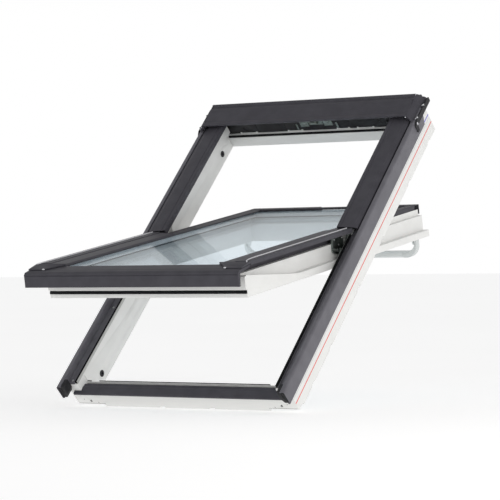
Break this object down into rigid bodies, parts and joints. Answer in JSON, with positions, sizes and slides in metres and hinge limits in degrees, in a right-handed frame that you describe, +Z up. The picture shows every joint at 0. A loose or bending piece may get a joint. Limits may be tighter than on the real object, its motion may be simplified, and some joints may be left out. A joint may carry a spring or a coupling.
{
  "type": "roof skylight",
  "caption": "Centre-pivot roof window: a white timber frame under dark sheet cladding and a hood, with a glazed sash turning about its middle and a control bar at its top edge.",
  "frame": {"origin": "middle of the frame's width and length, on the red line, 35 mm outward of the frame's room side", "axes": "+X to the right seen from outside, along the turning axis; +Y level, into the roof; +Z up. The window leans back at 45 degrees, and its upper end is towards +Y and +Z"},
  "size_m": [0.812, 1.1628, 0.9404],
  "materials": {
    "white_coated_timber": "timber under a smooth white satin coat",
    "dark_grey_sheet": "folded aluminium sheet with a dark grey powder coat, low sheen",
    "side_grey_sheet": "folded aluminium sheet with a grey powder coat",
    "black_rubber": "extruded black rubber",
    "black_plastic": "moulded black plastic",
    "white_plastic": "extruded white plastic",
    "white_lacquered_flap": "aluminium with white lacquer",
    "clear_glass": "clear float glass with a green edge",
    "spacer_aluminium": "folded spacer section",
    "zinc_steel": "pressed steel plate, zinc plated, grey-green",
    "bright_steel": "bright zinc-plated steel",
    "silver_aluminium": "extruded aluminium with a silver lacquer"
  },
  "bodies": {
    "frame": {"frame_bottom_rail": "white_coated_timber", "frame_top_rail": "white_coated_timber", "frame_left_jamb": "white_coated_timber", "frame_right_jamb": "white_coated_timber", "bottom_draught_strip": "white_plastic", "bottom_cladding": "dark_grey_sheet", "left_jamb_cladding": "side_grey_sheet", "right_jamb_cladding": "side_grey_sheet", "left_upper_cover": "dark_grey_sheet", "right_upper_cover": "dark_grey_sheet", "left_corner_block": "black_plastic", "right_corner_block": "black_plastic", "top_hood": "dark_grey_sheet", "left_hood_end": "dark_grey_sheet", "right_hood_end": "dark_grey_sheet", "vent_filter_panel": "black_plastic", "lock_striker": "zinc_steel", "left_frame_gasket": "black_rubber", "right_frame_gasket": "black_rubber", "stop_gaskets": "black_rubber", "left_frame_hinge_plate": "zinc_steel", "right_frame_hinge_plate": "zinc_steel", "bolt_bushes": "black_plastic", "cladding_screws": "bright_steel"},
    "sash": {"sash_bottom_rail": "white_coated_timber", "sash_top_rail": "white_coated_timber", "sash_left_stile": "white_coated_timber", "sash_right_stile": "white_coated_timber", "sash_bottom_cover": "dark_grey_sheet", "sash_left_lower_cover": "dark_grey_sheet", "sash_right_lower_cover": "dark_grey_sheet", "sash_left_bead": "dark_grey_sheet", "sash_right_bead": "dark_grey_sheet", "sash_top_bead": "dark_grey_sheet", "sash_bottom_gasket": "black_rubber", "outer_pane": "clear_glass", "inner_pane": "clear_glass", "pane_spacer": "spacer_aluminium", "glazing_gasket": "black_rubber", "left_sash_hinge_plate": "zinc_steel", "right_sash_hinge_plate": "zinc_steel", "hinge_screws": "bright_steel", "lock_case": "bright_steel", "bar_brackets": "silver_aluminium"},
    "left_hinge_link": {"left_hinge_link": "zinc_steel"},
    "right_hinge_link": {"right_hinge_link": "zinc_steel"},
    "control_bar": {"control_bar": "silver_aluminium", "bar_left_end_cap": "silver_aluminium", "bar_right_end_cap": "silver_aluminium"},
    "latch_claw": {"latch_claw": "bright_steel"},
    "vent_flap": {"vent_flap": "white_lacquered_flap"},
    "barrel_bolt": {"barrel_bolt": "bright_steel"}
  },
  "joints": [
    {"name": "sash_pivot", "type": "hinge", "parent": "frame", "child": "sash", "pos_m": [0, -0.07212, 0.07212], "axis": [-1, 0, 0], "range_deg": [-36, 121.17]},
    {"name": "left_link_pivot", "type": "hinge", "parent": "frame", "child": "left_hinge_link", "pos_m": [0, -0.07212, 0.07212], "axis": [-1, 0, 0], "range_deg": [-18, 60.58]},
    {"name": "right_link_pivot", "type": "hinge", "parent": "frame", "child": "right_hinge_link", "pos_m": [0, -0.07212, 0.07212], "axis": [-1, 0, 0], "range_deg": [-18, 60.58]},
    {"name": "control_bar_pivot", "type": "hinge", "parent": "sash", "child": "control_bar", "pos_m": [0, 0.43971, 0.03676], "axis": [-1, 0, 0], "range_deg": [-24, 12]},
    {"name": "claw_pivot", "type": "hinge", "parent": "sash", "child": "latch_claw", "pos_m": [0, 0.45668, 0.10222], "axis": [-1, 0, 0], "range_deg": [-12, 6]},
    {"name": "flap_pivot", "type": "hinge", "parent": "sash", "child": "vent_flap", "pos_m": [0, 0.4674, 0.08569], "axis": [-1, 0, 0], "range_deg": [-8, 4]},
    {"name": "barrel_bolt_slide", "type": "slide", "parent": "sash", "child": "barrel_bolt", "axis": [-1, 0, 0], "range_m": [0, 0.014]}
  ],
  "couplings": [
    {"joint": "left_link_pivot", "follows": "sash_pivot", "ratio": 0.5},
    {"joint": "right_link_pivot", "follows": "sash_pivot", "ratio": 0.5},
    {"joint": "claw_pivot", "follows": "control_bar_pivot", "ratio": 0.5},
    {"joint": "flap_pivot", "follows": "control_bar_pivot", "ratio": 0.33333}
  ]
}
